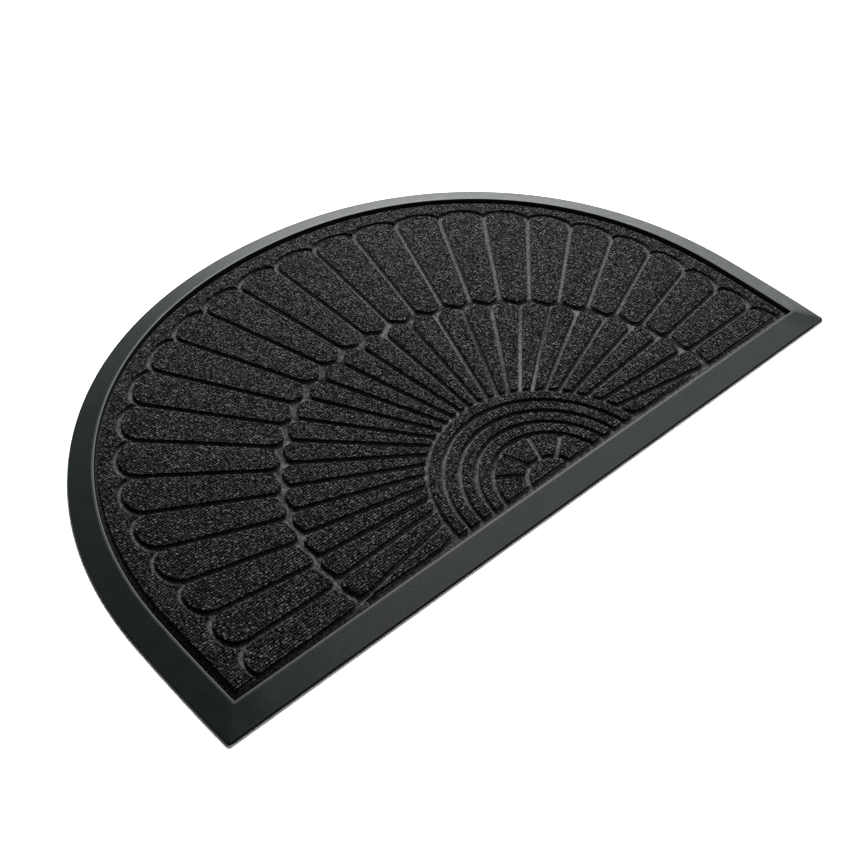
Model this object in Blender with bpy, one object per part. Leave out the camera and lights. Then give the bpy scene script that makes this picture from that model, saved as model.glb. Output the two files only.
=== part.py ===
"""Half-round door mat: a moulded rubber tray with a bevelled border, and a carpet panel set in it
whose pile stands in a pressed fan pattern.

Metres, +Z up. +X runs along the straight front edge and +Y from it to the top of the arch.
The origin is on the underside, at the middle of the mat's bounding box.
"""
from math import atan2, cos, exp, hypot, pi, radians, sin

import bmesh
import bpy
from mathutils import Vector

# The mat's outline
WIDTH = 0.900
DEPTH = 0.593
ARCH_RISE = 0.4447
ARCH_POWER = 2.09
SIDE_DRAW_IN = 0.0038
CORNER_RADIUS = 0.004
ARCH_STEPS = 64
SIDE_STEPS = 3

# Heights, from the surface that the mat lies on
LIP_HEIGHT = 0.0025
RIM_HEIGHT = 0.0110
TRAY_FLOOR = 0.0022
GAP = 0.0003
GROOVE_FLOOR = 0.0046
PILE_TOP = 0.0090

# The bevelled border, in plan
BORDER_WIDTH = 0.0297
RIM_FLAT = 0.0012
WALL_DRAFT = 0.0003

# The pile's pressed edges
SHOULDER = 0.0016
SHOULDER_DROP = 0.0016
GROOVE_HALF = 0.0028
ZIGZAG_HALF = 0.0038
RING_GROOVE_HALF = 0.0026
MARGIN_GROOVE = 0.0050
FRONT_GAP = 0.0105
ARCH_GAP = 0.0060
UNEVEN_GAP = 0.0035

# The fan: its foot, above the middle of the front edge, and how far it was pressed askew
FAN_FOOT = 0.028
FAN_SHIFT = 0.0070
FAN_LEAN = radians(1.25)
FAN_DIP = radians(0.5)
RING_STRETCH = 1.075

# Levels of the fan: half width, rise, height of the widest line, power of the curve
LEVELS = {
    "petal_tip": (0.3750, 0.3505, 0.166, 2.2),
    "petal_foot": (0.2695, 0.2737, 0.074, 2.01),
    "flute_tip": (0.2625, 0.2619, 0.073, 1.99),
    "flute_foot": (0.1385, 0.1490, 0.028, 2.0),
}
PETALS_EACH_SIDE = 13
PETAL_PITCH = radians(7.40)
PETAL_CENTRE = 0.066
FLUTE_PITCH = radians(7.98)
FLUTE_CENTRE = 0.085
FLUTE_CROWDING = radians(0.9)

# Rounded ends: bulge, power of the curve, steps
PETAL_TIP_END = (0.0165, 2.1, 8)
FLUTE_FOOT_END = (0.002, 2.0, 2)
MARGIN_CUSP_LIFT = 0.008

# Corners on the zigzag groove: how far each is cut back along its sides
PETAL_CORNER = 0.0045
FLUTE_CORNER = 0.0065
CORNER_STEPS = 3

# Petals pressed short on the upper left: by how much, about which groove, over how many,
# and the share of it that their rounder tips win back
SHORT_BY = 0.0100
SHORT_AT = -6.3
SHORT_SPREAD = 2.5
SHORT_ROUNDING = 0.55

# Half rings and rosette at the foot of the fan
RING_COUNT = 4
RING_RADIUS = 0.1353
RING_PITCH = 0.0171
RING_STEPS = 36
HUB = (0.028, 0.032)
WEDGE_LINES = tuple(radians(turn) for turn in (-110, -53, -19.5, 19.5, 53, 110))
WEDGE_CENTRE = 0.036


def clear_scene():
    for thing in list(bpy.data.objects):
        bpy.data.objects.remove(thing, do_unlink=True)


def material(name, colour, roughness):
    made = bpy.data.materials.new(name)
    made.use_nodes = True
    shader = made.node_tree.nodes["Principled BSDF"]
    shader.inputs["Base Color"].default_value = (*colour, 1.0)
    shader.inputs["Roughness"].default_value = roughness
    shader.inputs["Metallic"].default_value = 0.0
    return made


def power(value, exponent):
    """Signed power, for a superellipse."""
    return (1 if value >= 0 else -1) * abs(value) ** exponent


def mat_outline():
    """The outer line, anticlockwise from the front right corner; y = 0 on the front edge."""
    half = WIDTH / 2
    spring = DEPTH - ARCH_RISE
    side = []
    for step in range(SIDE_STEPS):
        y = spring * step / SIDE_STEPS
        side.append((half - SIDE_DRAW_IN * (1 - y / spring) ** 2, y))
    arch = []
    for step in range(ARCH_STEPS + 1):
        turn = pi * step / ARCH_STEPS
        x = half * power(cos(turn), 2 / ARCH_POWER)
        arch.append((x, spring + ARCH_RISE * power(sin(turn), 2 / ARCH_POWER)))
    return side + arch + [(-x, y) for x, y in reversed(side)]


def pulled_in(points, distance):
    """An anticlockwise closed line moved inwards by the same distance all round."""
    moved = []
    for index, here in enumerate(points):
        before = Vector(here) - Vector(points[index - 1])
        after = Vector(points[(index + 1) % len(points)]) - Vector(here)
        before.normalize()
        after.normalize()
        inward = Vector((-before.y - after.y, before.x + after.x))
        reach = distance * 2 / inward.length_squared
        moved.append((here[0] + inward.x * reach, here[1] + inward.y * reach))
    return moved


def on_level(level, centre, angle):
    """Where a ray from (0, centre) at an angle from the fan's axis meets a level of the fan."""
    half, rise, widest, exponent = LEVELS[level]
    near, far = 0.0, WIDTH
    for _ in range(40):
        reach = (near + far) / 2
        across = abs(reach * sin(angle)) / half
        up = max(centre + reach * cos(angle) - widest, 0.0) / rise
        if across ** exponent + up ** exponent < 1:
            near = reach
        else:
            far = reach
    return Vector((near * sin(angle), centre + near * cos(angle)))


def rounded_end(start, finish, outward, end):
    """Points of a bulged end from start to finish."""
    bulge, exponent, steps = end
    middle = (start + finish) / 2
    reach = (finish - start) / 2
    points = []
    for step in range(steps + 1):
        turn = pi * (step / steps - 0.5)
        across = power(sin(turn), 2 / exponent)
        points.append(middle + reach * across + outward * bulge * power(cos(turn), 2 / exponent))
    return points


def moved_left(path, distances):
    """An open path moved to its left, each stretch by its own distance."""
    normals = []
    for here, there in zip(path, path[1:]):
        along = (there - here).normalized()
        normals.append(Vector((-along.y, along.x)))
    moved = [path[0] + normals[0] * distances[0]]
    for corner, first, second, near, far in zip(path[1:], normals, normals[1:],
                                                distances, distances[1:]):
        turn = first.x * second.y - first.y * second.x
        step = Vector((near * second.y - far * first.y, far * first.x - near * second.x))
        moved.append(corner + step / turn)
    return moved + [path[-1] + normals[-1] * distances[-1]]


def rounded(path, cut):
    """An open path with its corners rounded off."""
    points = [path[0]]
    for before, corner, after in zip(path, path[1:], path[2:]):
        back, ahead = before - corner, after - corner
        start = corner + back.normalized() * min(cut, back.length * 0.45)
        finish = corner + ahead.normalized() * min(cut, ahead.length * 0.45)
        for step in range(CORNER_STEPS + 1):
            share = step / CORNER_STEPS
            points.append(start.lerp(corner, share).lerp(corner.lerp(finish, share), share))
    return points + [path[-1]]


def short_by(count):
    """How far the petals' tips fall short at a count of petals from the axis."""
    return SHORT_BY * exp(-((count - SHORT_AT) / SHORT_SPREAD) ** 2)


def petal_cusp(count, lift=0.0):
    """Where the groove at a count of petals from the axis opens at the petals' tips."""
    angle = count * PETAL_PITCH
    ray = Vector((sin(angle), cos(angle)))
    return on_level("petal_tip", PETAL_CENTRE, angle) + ray * (lift - short_by(count))


def tip_end(left, more=0.0):
    """The rounded end of the petal on the right of a groove."""
    bulge, exponent, steps = PETAL_TIP_END
    return bulge + more + SHORT_ROUNDING * short_by(left + 0.5), exponent, steps


def petal_node(count):
    """Where the groove at a count of petals from the axis meets the zigzag groove."""
    return on_level("petal_foot", PETAL_CENTRE, count * PETAL_PITCH)


def flute_angle(count):
    """The ray at a count of flutes from the axis, crowded a little towards the front edge."""
    share = abs(count) / (PETALS_EACH_SIDE - 1)
    crowding = 4 * share * (1 - share) * FLUTE_CROWDING
    return count * FLUTE_PITCH + (crowding if count > 0 else -crowding)


def flute_node(count):
    """Where the groove at a count of flutes from the axis meets the zigzag groove."""
    return on_level("flute_tip", FLUTE_CENTRE, flute_angle(count))


def petals():
    """Petals between two grooves, the foot of each pointing at a groove between flutes."""
    shapes = []
    sides = (GROOVE_HALF, ZIGZAG_HALF, ZIGZAG_HALF, GROOVE_HALF)
    for left in range(-PETALS_EACH_SIDE, PETALS_EACH_SIDE):
        right = left + 1
        centres = [petal_cusp(left), petal_node(left), flute_node(left + 0.5),
                   petal_node(right), petal_cusp(right)]
        foot = rounded(moved_left(centres, sides), PETAL_CORNER)
        outward = (centres[0] + centres[4] - centres[1] - centres[3]).normalized()
        tip = rounded_end(foot[-1], foot[0], outward, tip_end(left))
        shapes.append(foot + tip[1:-1])
    return shapes


def flutes():
    """Flutes between two grooves, the tip of each pointing at a groove between petals."""
    shapes = []
    sides = (GROOVE_HALF, ZIGZAG_HALF, ZIGZAG_HALF, GROOVE_HALF)
    for count in range(-PETALS_EACH_SIDE, PETALS_EACH_SIDE + 1):
        left, right = count - 0.5, count + 0.5
        feet = [on_level("flute_foot", FLUTE_CENTRE, flute_angle(side)) for side in (left, right)]
        centres = [feet[1], flute_node(right), petal_node(count), flute_node(left), feet[0]]
        tip = rounded(moved_left(centres, sides), FLUTE_CORNER)
        inward = (feet[0] + feet[1] - centres[1] - centres[3]).normalized()
        foot = rounded_end(tip[-1], tip[0], inward, FLUTE_FOOT_END)
        shapes.append(tip + foot[1:-1])
    return shapes


def scallops():
    """The margin's inner line, from the fan's left to its right, a groove outside the petals."""
    line = []
    for left in range(-PETALS_EACH_SIDE, PETALS_EACH_SIDE):
        start = petal_cusp(left, MARGIN_CUSP_LIFT)
        finish = petal_cusp(left + 1, MARGIN_CUSP_LIFT)
        across = (finish - start).normalized()
        outward = Vector((-across.y, across.x))
        end = tip_end(left, MARGIN_GROOVE - MARGIN_CUSP_LIFT)
        line.extend(rounded_end(start, finish, outward, end)[1 if line else 0:])
    return line


def oval(half, rise, start, finish, steps):
    """Part of an oval about the fan's foot, by angle from the right."""
    turns = [start + (finish - start) * step / steps for step in range(steps + 1)]
    return [Vector((half * cos(turn), FAN_FOOT + rise * sin(turn))) for turn in turns]


def half_rings():
    shapes = []
    for index in range(RING_COUNT):
        outer = RING_RADIUS - index * RING_PITCH - RING_GROOVE_HALF
        inner = RING_RADIUS - (index + 1) * RING_PITCH + RING_GROOVE_HALF
        shape = oval(outer, outer * RING_STRETCH, 0, pi, RING_STEPS)
        shapes.append(shape + oval(inner, inner * RING_STRETCH, pi, 0, RING_STEPS))
    return shapes


def ray_turn(angle, sideways, half, rise):
    """Where a wedge groove's edge meets an oval about the fan's foot, as the oval's own angle."""
    along = Vector((sin(angle), cos(angle)))
    start = Vector((0.0, WEDGE_CENTRE)) + Vector((along.y, -along.x)) * sideways
    near, far = 0.0, WIDTH
    for _ in range(40):
        reach = (near + far) / 2
        point = start + along * reach
        if (point.x / half) ** 2 + ((point.y - FAN_FOOT) / rise) ** 2 < 1:
            near = reach
        else:
            far = reach
    point = start + along * near
    turn = atan2((point.y - FAN_FOOT) / rise, point.x / half)
    return turn + 2 * pi if turn < -pi / 2 else turn


def rosette():
    """Hub and wedges inside the innermost ring."""
    shapes = [oval(HUB[0], HUB[1], 0, pi, 14)]
    outer = RING_RADIUS - RING_COUNT * RING_PITCH - RING_GROOVE_HALF
    inner = [size + 2 * RING_GROOVE_HALF for size in HUB]
    for left, right in zip(WEDGE_LINES, WEDGE_LINES[1:]):
        shape = []
        for half, rise, steps in ((outer, outer * RING_STRETCH, 8), (inner[0], inner[1], 4)):
            turns = [ray_turn(right, -RING_GROOVE_HALF, half, rise),
                     ray_turn(left, RING_GROOVE_HALF, half, rise)]
            if shape:
                turns.reverse()
            shape += oval(half, rise, turns[0], turns[1], steps)
        shapes.append(shape)
    return shapes


def askew(points):
    """The fan as it was pressed: moved, leaning a little, and dipping to the right."""
    placed = []
    for x, y in points:
        above = y - FAN_FOOT
        placed.append((FAN_SHIFT + x - FAN_LEAN * above, y - FAN_DIP * x))
    return placed


def above_front(points, line):
    """The part of a closed line that lies behind the front gap."""
    kept = []
    for index, here in enumerate(points):
        there = points[(index + 1) % len(points)]
        if here[1] >= line:
            kept.append(tuple(here))
        if (here[1] >= line) != (there[1] >= line):
            share = (line - here[1]) / (there[1] - here[1])
            kept.append((here[0] + (there[0] - here[0]) * share, line))
    return kept


def margin():
    """The plain band of pile between the petals and the border, close to it on the upper left
    and further from it on the lower left."""
    heart = Vector((0.0, 0.2))
    outer = []
    for corner in pulled_in(mat_outline(), BORDER_WIDTH + ARCH_GAP):
        arm = heart - Vector(corner)
        turn = atan2(-arm.y, -arm.x) % (2 * pi) - radians(110)
        move = -UNEVEN_GAP * sin(3 * turn) if 0 < turn < radians(120) else 0.0
        outer.append(tuple(Vector(corner) + arm.normalized() * move))
    return outer + askew(scallops())


def area(points):
    pairs = zip(points, points[1:] + points[:1])
    return sum(here[0] * there[1] - there[0] * here[1] for here, there in pairs) / 2


def flat_face(mesh, points, height):
    """A level face through the points, facing up, placed about the mat's middle."""
    if area(points) < 0:
        points = points[::-1]
    corners = [mesh.verts.new((x, y - DEPTH / 2, height)) for x, y in points]
    return mesh.faces.new(corners)


def raise_face(mesh, face, height):
    """Extrudes a face straight up and closes the solid's underside; gives the top face."""
    raised = bmesh.ops.extrude_face_region(mesh, geom=[face], use_keep_orig=True)["geom"]
    corners = [item for item in raised if isinstance(item, bmesh.types.BMVert)]
    bmesh.ops.translate(mesh, verts=corners, vec=(0, 0, height))
    return [item for item in raised if isinstance(item, bmesh.types.BMFace)][0]


def step_in(mesh, face, distance, rise):
    """Insets a top face evenly and moves it up or down."""
    bmesh.ops.inset_region(mesh, faces=[face], thickness=distance, depth=rise,
                           use_even_offset=True, use_boundary=True)


def finished(mesh, name, finish=None):
    """An object from the mesh, or a guide when it has no finish of its own."""
    bmesh.ops.recalc_face_normals(mesh, faces=mesh.faces)
    data = bpy.data.meshes.new(name)
    mesh.to_mesh(data)
    mesh.free()
    thing = bpy.data.objects.new(name, data)
    bpy.context.collection.objects.link(thing)
    if finish:
        data.materials.append(finish)
    else:
        thing.hide_render = True
        thing.display_type = "WIRE"
    return thing


def rubber_tray():
    """Base sheet and bevelled border, moulded in one."""
    mesh = bmesh.new()
    face = flat_face(mesh, mat_outline(), 0.0)
    top = raise_face(mesh, face, LIP_HEIGHT)
    step_in(mesh, top, BORDER_WIDTH - RIM_FLAT - WALL_DRAFT, RIM_HEIGHT - LIP_HEIGHT)
    step_in(mesh, top, RIM_FLAT, 0.0)
    step_in(mesh, top, WALL_DRAFT, TRAY_FLOOR - RIM_HEIGHT)
    upright = []
    for edge in mesh.edges:
        low, high = sorted(edge.verts, key=lambda corner: corner.co.z)
        level = hypot(low.co.x - high.co.x, low.co.y - high.co.y) < 1e-6
        if level and low.co.z < 1e-6 and low.co.y < 1e-6 - DEPTH / 2:
            upright.append(edge)
    bmesh.ops.bevel(mesh, geom=upright, offset=CORNER_RADIUS, segments=4, profile=0.5,
                    affect="EDGES", clamp_overlap=True)
    finish = material("rubber", (0.045, 0.052, 0.055), 0.62)
    return finished(mesh, "rubber_tray", finish)


def pile_islands():
    """Every raised part of the fan, as closed solids that bite into the backing."""
    front = BORDER_WIDTH + FRONT_GAP
    bite = 0.0010
    shapes = [askew(shape) for shape in petals() + flutes() + half_rings() + rosette()]
    mesh = bmesh.new()
    for shape in shapes + [margin()]:
        shape = above_front(shape, front)
        if len(shape) < 3:
            continue
        face = flat_face(mesh, shape, GROOVE_FLOOR - bite)
        top = raise_face(mesh, face, PILE_TOP - SHOULDER_DROP - GROOVE_FLOOR + bite)
        step_in(mesh, top, SHOULDER, SHOULDER_DROP)
    return finished(mesh, "pile_islands")


def pile_panel():
    """Carpet face: a backing that fills the tray, and the fan standing on it in pile."""
    mesh = bmesh.new()
    outline = pulled_in(mat_outline(), BORDER_WIDTH + GAP)
    bottom = TRAY_FLOOR + GAP
    raise_face(mesh, flat_face(mesh, outline, bottom), GROOVE_FLOOR - bottom)
    finish = material("pile", (0.055, 0.055, 0.058), 0.95)
    panel = finished(mesh, "pile_panel", finish)
    join = panel.modifiers.new("fan", "BOOLEAN")
    join.operation = "UNION"
    join.solver = "EXACT"
    join.object = pile_islands()
    return panel


clear_scene()
rubber_tray()
pile_panel()
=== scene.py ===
"""Looks of the half-round door mat: a moulded rubber border, and pile pressed into a fan.

Metres, in the frame of the solids: +X along the straight front edge, +Y to the top of the arch,
+Z up, with the origin on the underside at the middle of the mat's box.
"""
import random
from math import atan2, cos, degrees, pi, radians, sin

import bmesh
import bpy
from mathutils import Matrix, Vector
from mathutils.bvhtree import BVHTree


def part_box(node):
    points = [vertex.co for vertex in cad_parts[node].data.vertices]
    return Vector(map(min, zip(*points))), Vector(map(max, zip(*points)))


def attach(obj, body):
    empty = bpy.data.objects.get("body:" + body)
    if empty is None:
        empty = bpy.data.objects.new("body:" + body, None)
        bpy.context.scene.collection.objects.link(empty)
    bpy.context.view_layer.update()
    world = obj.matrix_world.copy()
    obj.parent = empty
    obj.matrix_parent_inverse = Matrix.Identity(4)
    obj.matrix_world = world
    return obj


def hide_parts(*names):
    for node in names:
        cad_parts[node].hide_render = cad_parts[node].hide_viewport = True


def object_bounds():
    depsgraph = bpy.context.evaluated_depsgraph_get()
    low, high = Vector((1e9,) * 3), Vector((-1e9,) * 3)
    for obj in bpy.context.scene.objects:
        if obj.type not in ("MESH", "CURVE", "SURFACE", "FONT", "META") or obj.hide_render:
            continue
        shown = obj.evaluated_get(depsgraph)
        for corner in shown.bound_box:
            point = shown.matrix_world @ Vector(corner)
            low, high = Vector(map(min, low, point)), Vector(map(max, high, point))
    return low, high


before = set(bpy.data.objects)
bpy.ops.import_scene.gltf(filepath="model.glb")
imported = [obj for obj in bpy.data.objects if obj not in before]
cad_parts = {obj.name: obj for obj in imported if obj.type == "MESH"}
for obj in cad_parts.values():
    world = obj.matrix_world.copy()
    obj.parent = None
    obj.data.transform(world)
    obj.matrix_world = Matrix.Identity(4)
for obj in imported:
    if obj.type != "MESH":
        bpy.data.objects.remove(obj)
cad_low, cad_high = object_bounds()

# The mat's outline, as in the solids
WIDTH = cad_high.x - cad_low.x
DEPTH = cad_high.y - cad_low.y
ARCH_RISE = 0.4447
ARCH_POWER = 2.09
SIDE_DRAW_IN = 0.0038
CORNER_RADIUS = 0.004
ARCH_STEPS = 128
SIDE_STEPS = 4
FRONT_STEPS = 16
CORNER_STEPS = 6

# The border's section: heights, and distances in from the outline
LIP_HEIGHT = 0.0025
LIP_ROUND = 0.0006
RIM_HEIGHT = cad_high.z
RIM_ROUND = 0.0005
TRAY_FLOOR = 0.0022
BORDER_WIDTH = 0.0297
RIM_FLAT = 0.0012
RIB_PITCH = 0.0022
RIB_HEIGHT = 0.00020
RIB_STEPS = 4
ROUND_MIDDLE = 0.3

# The cloth under the pile: its raised parts' share of their height, and how far the rest is sunk
PILE_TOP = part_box("pile_panel")[1].z
GROOVE_FLOOR = 0.0046
SHOULDER = 0.0016
RAISED_SHARE = 0.60
PRESSED = 0.0008
LEVEL = 0.0001

# The tufts: spacing, size, and how much each may differ
ROW_PITCH = 0.0032
ROW_WAVER = 0.00022
TUFT_PITCH = 0.0022
TUFT_WAVER = 0.0005
TUFT_LENGTH = 0.0021
TUFT_RADIUS = 0.00110
TUFT_OVAL = 1.2
TUFT_SIZES = (0.65, 1.3)
TUFT_LEAN = 0.34
TUFT_SPIN = 0.5
DARK_YARN = 2.7

# The tufts beside a groove: pushed in from its wall, leaning out, lower, and darker with painted shade
PUSHED_FROM = 0.0016
PUSHED_TO = 0.0015
EDGE_LEAN = 0.3
EDGE_DROP = 0.0013
EDGE_SHADE = 0.8

# The fan's foot, how far its rings reach from it, and the petals' sectors in degrees from its middle
FAN_FOOT = Vector((0.007, 0.028 - DEPTH / 2))
RING_REACH = 0.13
FLUTE_REACH = 0.28
MARGIN_SPAN = 0.6
SECTOR_EDGES = (-56, -19, 19, 56)
SECTORS = ("far_left_petal", "left_petal", "top_petal", "right_petal", "far_right_petal")

# Camera and room
CAMERA_LENS = 53.66
CAMERA_SENSOR = 36.0
CAMERA_PLACE = (-0.7097, -0.8622, 1.0216)
CAMERA_TARGET = (-0.0386, -0.1032, 0.0)
FLOOR_REACH = 15.0
FLOOR_GAP = 0.0002
ROOM_LIGHT = 0.07

# Softboxes: name, place, target, width and height, watts
SOFTBOXES = (
    ("key", (1.04, 1.17, 1.34), (0.0, 0.0, 0.0), (0.94, 0.68), 146),
    ("back_card", (1.9, 1.5, 0.5), (0.0, 0.1, 0.0), (3.2, 0.9), 15),
    ("top_card", (1.1, -0.38, 1.5), (0.55, -0.38, 0.0), (0.55, 1.9), 12),
)


# Camera, floor and light

def aimed(thing, place, target):
    """Puts a camera or a light at a place, level, looking at a target."""
    bpy.context.scene.collection.objects.link(thing)
    thing.location = place
    thing.rotation_euler = (Vector(target) - Vector(place)).to_track_quat("-Z", "Y").to_euler()
    return thing


def camera():
    eye = bpy.data.objects.new("camera", bpy.data.cameras.new("camera"))
    eye.data.lens = CAMERA_LENS
    eye.data.sensor_width = CAMERA_SENSOR
    aimed(eye, CAMERA_PLACE, CAMERA_TARGET)
    bpy.context.scene.camera = eye


def softbox(name, place, target, size, watts):
    lamp = bpy.data.lights.new(name, "AREA")
    lamp.shape = "RECTANGLE"
    lamp.size, lamp.size_y = size
    lamp.energy = watts
    aimed(bpy.data.objects.new(name, lamp), place, target).visible_camera = False


def studio():
    """Pale floor and dim room: a softbox behind to the right, a low card by it, one overhead."""
    mesh = bmesh.new()
    bmesh.ops.create_grid(mesh, x_segments=1, y_segments=1, size=FLOOR_REACH)
    bmesh.ops.translate(mesh, verts=mesh.verts, vec=(0, 0, -FLOOR_GAP))
    piece(mesh, "floor", floor_finish())
    world = bpy.data.worlds.new("room")
    world.use_nodes = True
    world.node_tree.nodes["Background"].inputs["Color"].default_value = (1.0, 1.0, 1.0, 1.0)
    world.node_tree.nodes["Background"].inputs["Strength"].default_value = ROOM_LIGHT
    bpy.context.scene.world = world
    bpy.context.scene.view_settings.view_transform = "Standard"
    for name, place, target, size, watts in SOFTBOXES:
        softbox(name, place, target, size, watts)


# Materials

class Value:
    """A number in a material's node tree; arithmetic on it adds Math nodes."""

    def __init__(self, finish, socket):
        self.finish = finish
        self.socket = socket

    def math(self, operation, first, second):
        made = self.finish.node("ShaderNodeMath", {"operation": operation}, {0: first, 1: second})
        return Value(self.finish, made.outputs[0])

    def __add__(self, other):
        return self.math("ADD", self, other)

    def __rsub__(self, other):
        return self.math("SUBTRACT", other, self)

    def __mul__(self, other):
        return self.math("MULTIPLY", self, other)

    __radd__ = __add__
    __rmul__ = __mul__


class Finish:
    """A procedural material on one Principled shader."""

    def __init__(self, name):
        self.material = bpy.data.materials.new(name)
        self.material.use_nodes = True
        self.tree = self.material.node_tree
        self.shader = self.tree.nodes["Principled BSDF"]

    def put(self, socket, value):
        if isinstance(value, Value):
            self.tree.links.new(value.socket, socket)
        elif isinstance(value, bpy.types.NodeSocket):
            self.tree.links.new(value, socket)
        else:
            socket.default_value = value

    def node(self, kind, settings, values):
        """A node of any kind: its settings first, then its sockets' values or links."""
        made = self.tree.nodes.new(kind)
        for name, setting in settings.items():
            setattr(made, name, setting)
        for name, value in values.items():
            self.put(made.inputs[name], value)
        return made

    def place(self):
        return self.node("ShaderNodeTexCoord", {}, {}).outputs["Object"]

    def height(self):
        return Value(self, self.node("ShaderNodeSeparateXYZ", {}, {0: self.place()}).outputs["Z"])

    def noise(self, scale, detail=2.0, roughness=0.5):
        made = self.node("ShaderNodeTexNoise", {}, {"Vector": self.place(), "Scale": scale,
                                                    "Detail": detail, "Roughness": roughness})
        return Value(self, made.outputs["Fac"])

    def attribute(self, name):
        made = self.node("ShaderNodeAttribute", {"attribute_name": name}, {})
        return Value(self, made.outputs["Fac"])

    def ramp(self, value, low, high, start=0.0, end=1.0):
        """Smooth step of a value between two of its levels."""
        made = self.node("ShaderNodeMapRange", {"interpolation_type": "SMOOTHSTEP"},
                         {"Value": value, "From Min": low, "From Max": high,
                          "To Min": start, "To Max": end})
        return Value(self, made.outputs["Result"])

    def blend(self, share, first, second):
        """A colour between two, each a plain colour or another blend."""
        made = self.node("ShaderNodeMix", {"data_type": "RGBA"}, {"Factor": share})
        for socket, colour in zip((made.inputs[6], made.inputs[7]), (first, second)):
            self.put(socket, colour if isinstance(colour, bpy.types.NodeSocket) else (*colour, 1.0))
        return made.outputs[2]

    def bump(self, height, distance):
        made = self.node("ShaderNodeBump", {}, {"Height": height, "Distance": distance})
        self.put(self.shader.inputs["Normal"], made.outputs["Normal"])


def floor_finish():
    finish = Finish("pale_floor")
    finish.put(finish.shader.inputs["Base Color"], (0.92, 0.92, 0.92, 1.0))
    finish.put(finish.shader.inputs["Roughness"], 0.9)
    return finish.material


def rubber_finish():
    """Slate rubber, cloudy in tone and finely grained: a dull lip painted black as shade, and a rim
    paler from scuffs and a painted highlight.
    """
    finish = Finish("moulded_rubber")
    dark_slate = (0.0052, 0.0076, 0.0080)
    pale_slate = (0.0088, 0.0116, 0.0120)
    scuffed_highlight = (0.026, 0.029, 0.030)
    # Painted shade: the lip's face is made near black
    lip_painted_shade = (0.0006, 0.0006, 0.0006)
    cloud = finish.noise(scale=9.0, detail=3.0)
    grain = finish.noise(scale=1400.0)
    scuff = finish.noise(scale=70.0, detail=4.0, roughness=0.6)
    rim = finish.ramp(finish.height(), RIM_HEIGHT - 0.0006, RIM_HEIGHT - 0.0001)
    above_lip = finish.ramp(finish.height(), LIP_HEIGHT - LIP_ROUND, LIP_HEIGHT)
    slate = finish.blend(cloud, dark_slate, pale_slate)
    # Paler rim top: scuffs, and a painted highlight where the rim catches the light
    wear_and_highlight = rim * finish.ramp(scuff, 0.35, 0.65, start=0.4, end=0.9)
    finish.put(finish.shader.inputs["Base Color"],
               finish.blend(above_lip, lip_painted_shade, finish.blend(wear_and_highlight, slate, scuffed_highlight)))
    smooth = above_lip * finish.ramp(scuff, 0.3, 0.7, start=0.72, end=0.66) * (1.0 - rim * 0.4)
    finish.put(finish.shader.inputs["Roughness"], 1.0 - smooth)
    finish.put(finish.shader.inputs["Specular IOR Level"], 0.24)
    finish.bump(grain, 0.00004)
    return finish.material


def ground_finish():
    """Needled cloth: pressed and fused in the grooves, dark under the tufts."""
    finish = Finish("fused_cloth")
    unlit = (0.002, 0.002, 0.002)
    dark_fibre = (0.003, 0.003, 0.0032)
    pale_fibre = (0.044, 0.044, 0.0448)
    felt = finish.noise(scale=900.0, detail=3.0, roughness=0.6)
    clump = finish.noise(scale=260.0)
    groove = finish.ramp(finish.height(), GROOVE_FLOOR + 0.0001, GROOVE_FLOOR + 0.0006,
                         start=1.0, end=0.0)
    fibre = finish.ramp(felt * 0.5 + clump * 0.5, 0.42, 0.58)
    fused = finish.blend(fibre, dark_fibre, pale_fibre)
    finish.put(finish.shader.inputs["Base Color"], finish.blend(groove, unlit, fused))
    finish.put(finish.shader.inputs["Roughness"], finish.ramp(felt, 0.3, 0.7, start=0.72, end=0.88))
    finish.put(finish.shader.inputs["Specular IOR Level"], 0.2)
    finish.bump(felt, 0.00025)
    return finish.material


def pile_finish():
    """Charcoal yarn: every tuft its own tone, painted darker towards its root as shade, with fine
    crimped fibres.
    """
    finish = Finish("looped_yarn")
    # root: painted shade at the foot of each tuft, where the tufts shade each other
    root = (0.001, 0.001, 0.001)
    dark_yarn = (0.0010, 0.0010, 0.0010)
    pale_yarn = (0.0840, 0.0840, 0.0853)
    fibre = finish.noise(scale=1700.0, roughness=0.6)
    tone = finish.blend(finish.attribute("shade"), dark_yarn, pale_yarn)
    tip = finish.ramp(finish.attribute("tip") + fibre * 0.3, 0.35, 1.0)
    finish.put(finish.shader.inputs["Base Color"], finish.blend(tip, root, tone))
    finish.put(finish.shader.inputs["Roughness"], finish.ramp(fibre, 0.3, 0.7, start=0.85, end=1.0))
    finish.put(finish.shader.inputs["Sheen Weight"], 0.15)
    finish.put(finish.shader.inputs["Sheen Roughness"], 0.45)
    finish.put(finish.shader.inputs["Specular IOR Level"], 0.0)
    finish.bump(fibre, 0.00025)
    return finish.material


# Meshes

def piece(mesh, name, finish, smooth_angle=None):
    """A scene object from a bmesh, at the origin."""
    data = bpy.data.meshes.new(name)
    mesh.to_mesh(data)
    mesh.free()
    data.materials.append(finish)
    if smooth_angle is not None:
        data.shade_smooth()
        data.set_sharp_from_angle(angle=smooth_angle)
    thing = bpy.data.objects.new(name, data)
    bpy.context.scene.collection.objects.link(thing)
    return thing


def power(value, exponent):
    """Signed power, for a superellipse."""
    return (1 if value >= 0 else -1) * abs(value) ** exponent


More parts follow.
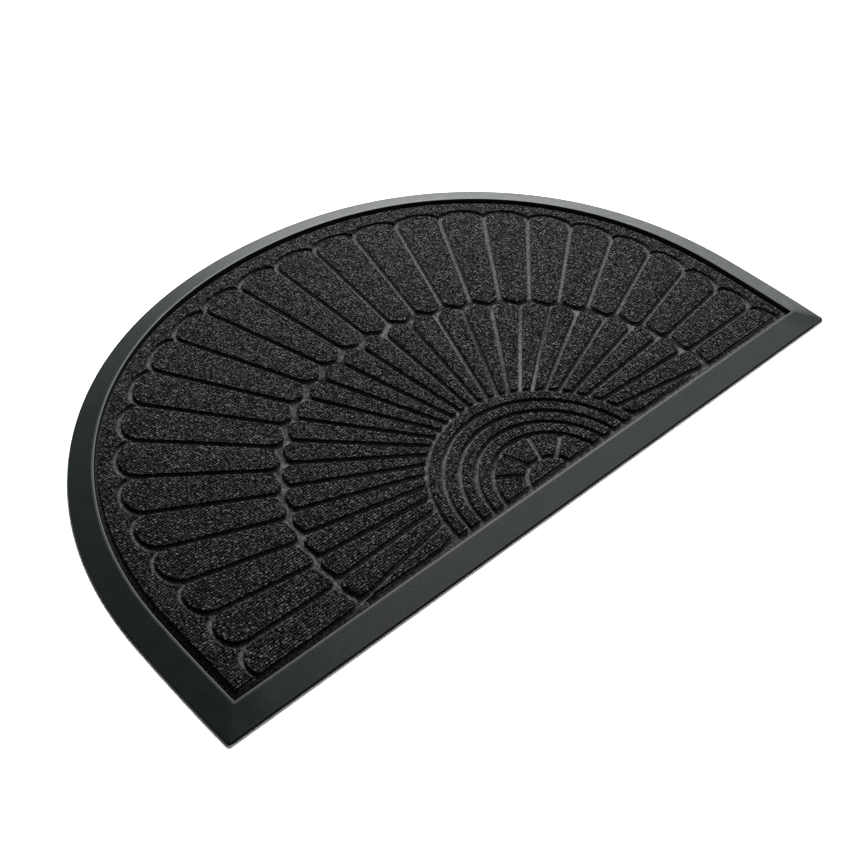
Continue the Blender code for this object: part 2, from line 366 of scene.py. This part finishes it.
def half_outline():
    """The outer line from the front's middle, round the right corner, to the top of the arch."""
    half = WIDTH / 2
    front = -DEPTH / 2
    spring = DEPTH / 2 - ARCH_RISE
    corner = half - SIDE_DRAW_IN
    line = [Vector((corner * step * 2 / FRONT_STEPS, front)) for step in range(FRONT_STEPS // 2)]
    line.append(Vector((corner, front)))
    for step in range(1, SIDE_STEPS):
        share = 1 - step / SIDE_STEPS
        line.append(Vector((half - SIDE_DRAW_IN * share ** 2, spring - (spring - front) * share)))
    for step in range(ARCH_STEPS // 2 + 1):
        turn = pi * step / ARCH_STEPS
        x = half * power(cos(turn), 2 / ARCH_POWER)
        line.append(Vector((x, spring + ARCH_RISE * power(sin(turn), 2 / ARCH_POWER))))
    return line


def outline():
    """The whole outer line, anticlockwise, and the places of its two sharp front corners in it."""
    right = half_outline()
    left = [Vector((-point.x, point.y)) for point in reversed(right[1:-1])]
    sharp = FRONT_STEPS // 2
    return right + left, (sharp, len(right) + len(left) - sharp)


def border_lines(insets):
    """The outline pulled in by each inset; the corners' radius shrinks until it is used up."""
    line, sharp = outline()
    lines = [[] for _ in insets]
    for index, here in enumerate(line):
        before = (here - line[index - 1]).normalized()
        after = (line[(index + 1) % len(line)] - here).normalized()
        normals = [Vector((-way.y, way.x)) for way in (before, after)]
        mitre = (normals[0] + normals[1]) * (2 / (normals[0] + normals[1]).length_squared)
        if index not in sharp:
            for made, inset in zip(lines, insets):
                made.append(here + mitre * inset)
            continue
        centre = here + mitre * CORNER_RADIUS
        start = atan2(-normals[0].y, -normals[0].x)
        sweep = normals[0].angle(normals[1])
        for made, inset in zip(lines, insets):
            radius = max(CORNER_RADIUS - inset, 0.0)
            spot = centre + mitre * max(inset - CORNER_RADIUS, 0.0)
            for step in range(CORNER_STEPS + 1):
                turn = start + sweep * step / CORNER_STEPS
                made.append(spot + Vector((cos(turn), sin(turn))) * radius)
    return lines


def border_section():
    """Inset and height of each ring of the border, from the foot of the lip to the tray's floor."""
    rim_start = BORDER_WIDTH - RIM_FLAT
    slope_start = LIP_ROUND
    slope = rim_start - RIM_ROUND - slope_start
    section = [(0.0, 0.0),
               (0.0, LIP_HEIGHT - LIP_ROUND),
               (LIP_ROUND * ROUND_MIDDLE, LIP_HEIGHT - LIP_ROUND * ROUND_MIDDLE)]
    steps = round(slope / RIB_PITCH) * RIB_STEPS
    for step in range(steps + 1):
        inset = slope_start + slope * step / steps
        height = LIP_HEIGHT + (RIM_HEIGHT - LIP_HEIGHT) * inset / rim_start
        rib = (1 - cos(2 * pi * step / RIB_STEPS)) / 2
        section.append((inset, height + RIB_HEIGHT * rib))
    section.append((rim_start, RIM_HEIGHT))
    section.append((BORDER_WIDTH - RIM_ROUND, RIM_HEIGHT))
    section.append((BORDER_WIDTH - RIM_ROUND * ROUND_MIDDLE, RIM_HEIGHT - RIM_ROUND * ROUND_MIDDLE))
    section.append((BORDER_WIDTH, RIM_HEIGHT - RIM_ROUND))
    section.append((BORDER_WIDTH, TRAY_FLOOR))
    return section


def rubber_tray():
    """Base and bevelled border: the outline's ring extruded up and in along the section."""
    section = border_section()
    lines = border_lines([inset for inset, height in section])
    mesh = bmesh.new()
    ring = [mesh.verts.new((x, y, 0.0)) for x, y in lines[0]]
    mesh.faces.new(ring[::-1])
    for line, (inset, height) in zip(lines[1:], section[1:]):
        edges = [mesh.edges.get((here, there)) for here, there in zip(ring, ring[1:] + ring[:1])]
        raised = bmesh.ops.extrude_edge_only(mesh, edges=edges)["geom"]
        fresh = {item for item in raised if isinstance(item, bmesh.types.BMVert)}
        above = []
        for corner, place in zip(ring, line):
            top = next(edge.other_vert(corner) for edge in corner.link_edges
                       if edge.other_vert(corner) in fresh)
            top.co = (place.x, place.y, height)
            above.append(top)
        ring = above
    mesh.faces.new(ring)
    bmesh.ops.remove_doubles(mesh, verts=mesh.verts, dist=0.000001)
    bmesh.ops.recalc_face_normals(mesh, faces=mesh.faces)
    tray = piece(mesh, "rubber_border", rubber_finish(), radians(28))
    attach(tray, "root")
    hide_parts("rubber_tray")
    return tray


def panel_copy():
    """The pile panel's solid as a merged bmesh."""
    mesh = bmesh.new()
    mesh.from_mesh(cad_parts["pile_panel"].data)
    bmesh.ops.remove_doubles(mesh, verts=mesh.verts, dist=0.00001)
    return mesh


def ground_cloth():
    """The cloth that the tufts stand in: the panel's own form, lower under them and in the grooves."""
    mesh = panel_copy()
    for corner in mesh.verts:
        over = corner.co.z - GROOVE_FLOOR
        if over > LEVEL:
            corner.co.z = GROOVE_FLOOR + over * RAISED_SHARE
        elif over > -LEVEL:
            corner.co.z -= PRESSED
    cloth = piece(mesh, "pressed_cloth", ground_finish(), radians(40))
    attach(cloth, "root")
    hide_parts("pile_panel")
    return cloth


class Walls:
    """The upright edges of the raised parts, with the part that each belongs to."""

    def __init__(self):
        mesh = panel_copy()
        upright = [face for face in mesh.faces
                   if abs(face.normal.z) < 0.2 and face.calc_center_median().z > GROOVE_FLOOR]
        mesh.verts.index_update()
        self.part_of = {}
        self.parts = []
        numbers = {face: number for number, face in enumerate(upright)}
        for face in upright:
            if numbers[face] in self.part_of:
                continue
            waiting = [face]
            corners = []
            while waiting:
                here = waiting.pop()
                if here not in numbers or numbers[here] in self.part_of:
                    continue
                self.part_of[numbers[here]] = len(self.parts)
                corners += [corner.co.xy.copy() for corner in here.verts]
                waiting += [other for edge in here.edges for other in edge.link_faces]
            self.parts.append(part_name(corners))
        places = [corner.co.copy() for corner in mesh.verts]
        self.tree = BVHTree.FromPolygons(places, [[corner.index for corner in face.verts]
                                                  for face in upright])
        mesh.free()

    def nearest(self, x, y):
        """The nearest edge point, the way out of its part there, how far inside, and the part.

        A place past a pointed tip lies beside its edges, so it counts as outside.
        """
        middle = (GROOVE_FLOOR + PILE_TOP - SHOULDER) / 2
        spot, normal, number, _ = self.tree.find_nearest((x, y, middle))
        away = Vector((x - spot.x, y - spot.y))
        out = normal.xy.normalized()
        inside = away.length if away.dot(out) < -away.length / 2 else -away.length
        return spot.xy, out, inside, self.parts[self.part_of[number]]


def part_name(corners):
    """Which ring of the pattern a raised part belongs to, and which sector of the petals."""
    low = Vector((min(corner.x for corner in corners), min(corner.y for corner in corners)))
    high = Vector((max(corner.x for corner in corners), max(corner.y for corner in corners)))
    arm = (low + high) / 2 - FAN_FOOT
    if high.x - low.x > MARGIN_SPAN:
        return "margin"
    if arm.length < RING_REACH:
        return "half_ring"
    turn = degrees(atan2(arm.x, arm.y))
    if arm.length < FLUTE_REACH:
        return "left_flute" if turn < 0 else "right_flute"
    return SECTORS[sum(turn > edge for edge in SECTOR_EDGES)]


def tuft_seeds():
    """Place, lean, size, spin and tone of every tuft, by part.

    They stand in rows along the front edge, pushed aside where the pattern was pressed.
    """
    walls = Walls()
    luck = random.Random(31)
    seeds = {}
    rows = int((DEPTH - 2 * BORDER_WIDTH) / ROW_PITCH)
    count = int((WIDTH - 2 * BORDER_WIDTH) / TUFT_PITCH)
    for row in range(rows):
        offset = luck.random()
        for place in range(count):
            x = (place + offset - count / 2) * TUFT_PITCH + luck.gauss(0, TUFT_WAVER)
            y = (row + 0.5 - rows / 2) * ROW_PITCH + luck.gauss(0, ROW_WAVER)
            spot, out, inside, part = walls.nearest(x, y)
            size = luck.uniform(*TUFT_SIZES)
            tone = luck.random() ** DARK_YARN
            lean = Vector((luck.gauss(0, TUFT_LEAN), luck.gauss(0, TUFT_LEAN)))
            spin = luck.uniform(-TUFT_SPIN, TUFT_SPIN)
            if inside < -PUSHED_FROM:
                continue
            if inside < PUSHED_TO:
                inside = PUSHED_TO
                x, y = spot - out * PUSHED_TO
                if walls.nearest(x, y)[2] < PUSHED_TO / 2:
                    continue
            dip = max(1 - inside / (2 * SHOULDER), 0.0) ** 2
            lean += out * EDGE_LEAN * dip
            # Painted shade: tufts beside a groove are darkened, widening the shadowed bands
            tone *= 1 - EDGE_SHADE * dip
            root = PILE_TOP - EDGE_DROP * dip - TUFT_LENGTH
            seeds.setdefault(part, []).append((x, y, root, lean, size, spin, tone))
    return seeds


def tuft():
    """One loop of yarn, a unit high and wide: a bud with a narrower foot and its peak off the middle."""
    foot = 0.74
    belly_height = 0.66
    peak_place = (0.12, 0.05, 1.0)
    mesh = bmesh.new()
    bmesh.ops.create_cone(mesh, cap_ends=True, segments=5, radius1=foot, radius2=1.0,
                          depth=belly_height)
    bmesh.ops.translate(mesh, verts=mesh.verts, vec=(0, 0, belly_height / 2))
    crown = max(mesh.faces, key=lambda face: face.calc_center_median().z)
    bmesh.ops.poke(mesh, faces=[crown], offset=0.0)
    peak = max(mesh.verts, key=lambda corner: (round(corner.co.z, 4), -corner.co.xy.length))
    peak.co = peak_place
    level = mesh.verts.layers.float.new("tip")
    for corner in mesh.verts:
        corner[level] = corner.co.z
    data = bpy.data.meshes.new("tuft")
    mesh.to_mesh(data)
    mesh.free()
    data.shade_smooth()
    data.set_sharp_from_angle(angle=radians(50))
    return bpy.data.objects.new("tuft", data)


def planting(shape):
    """Geometry nodes that stand a tuft on every seed and make them one real mesh."""
    tree = bpy.data.node_groups.new("planting", "GeometryNodeTree")
    tree.interface.new_socket("Geometry", in_out="INPUT", socket_type="NodeSocketGeometry")
    tree.interface.new_socket("Geometry", in_out="OUTPUT", socket_type="NodeSocketGeometry")
    nodes = {}
    for name, kind in (("in", "NodeGroupInput"),
                       ("out", "NodeGroupOutput"),
                       ("shape", "GeometryNodeObjectInfo"),
                       ("turn", "GeometryNodeInputNamedAttribute"),
                       ("size", "GeometryNodeInputNamedAttribute"),
                       ("stand", "GeometryNodeInstanceOnPoints"),
                       ("real", "GeometryNodeRealizeInstances")):
        nodes[name] = tree.nodes.new(kind)
    for name in ("turn", "size"):
        nodes[name].data_type = "FLOAT_VECTOR"
        nodes[name].inputs["Name"].default_value = name
    nodes["shape"].inputs["Object"].default_value = shape
    for start, output, end, entry in (("in", "Geometry", "stand", "Points"),
                                      ("shape", "Geometry", "stand", "Instance"),
                                      ("turn", "Attribute", "stand", "Rotation"),
                                      ("size", "Attribute", "stand", "Scale"),
                                      ("stand", "Instances", "real", "Geometry"),
                                      ("real", "Geometry", "out", "Geometry")):
        tree.links.new(nodes[start].outputs[output], nodes[end].inputs[entry])
    return tree


def plant(name, seeds, tree, finish):
    """One joined mesh of tufts."""
    mesh = bmesh.new()
    turn = mesh.verts.layers.float_vector.new("turn")
    size = mesh.verts.layers.float_vector.new("size")
    shade = mesh.verts.layers.float.new("shade")
    for x, y, root, lean, scale, spin, tone in seeds:
        corner = mesh.verts.new((x, y, root))
        radius = TUFT_RADIUS * scale
        corner[turn] = (-lean.y, lean.x, spin)
        corner[size] = (radius * TUFT_OVAL, radius, TUFT_LENGTH * (0.5 + scale / 2))
        corner[shade] = tone
    data = bpy.data.meshes.new(name + "_seeds")
    mesh.to_mesh(data)
    mesh.free()
    bed = bpy.data.objects.new(name + "_seeds", data)
    bpy.context.scene.collection.objects.link(bed)
    bed.modifiers.new("planting", "NODES").node_group = tree
    graph = bpy.context.evaluated_depsgraph_get()
    made = bpy.data.meshes.new_from_object(bed.evaluated_get(graph), preserve_all_data_layers=True,
                                           depsgraph=graph)
    made.name = name
    bpy.data.objects.remove(bed)
    made.materials.clear()
    made.materials.append(finish)
    tufts = bpy.data.objects.new(name, made)
    bpy.context.scene.collection.objects.link(tufts)
    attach(tufts, "root")
    return tufts


def pile():
    """The tufts of each part of the pattern."""
    finish = pile_finish()
    tree = planting(tuft())
    return [plant(part + "_tufts", seeds, tree, finish)
            for part, seeds in sorted(tuft_seeds().items())]


camera()
studio()
border = rubber_tray()
cloth = ground_cloth()
tufts = pile()
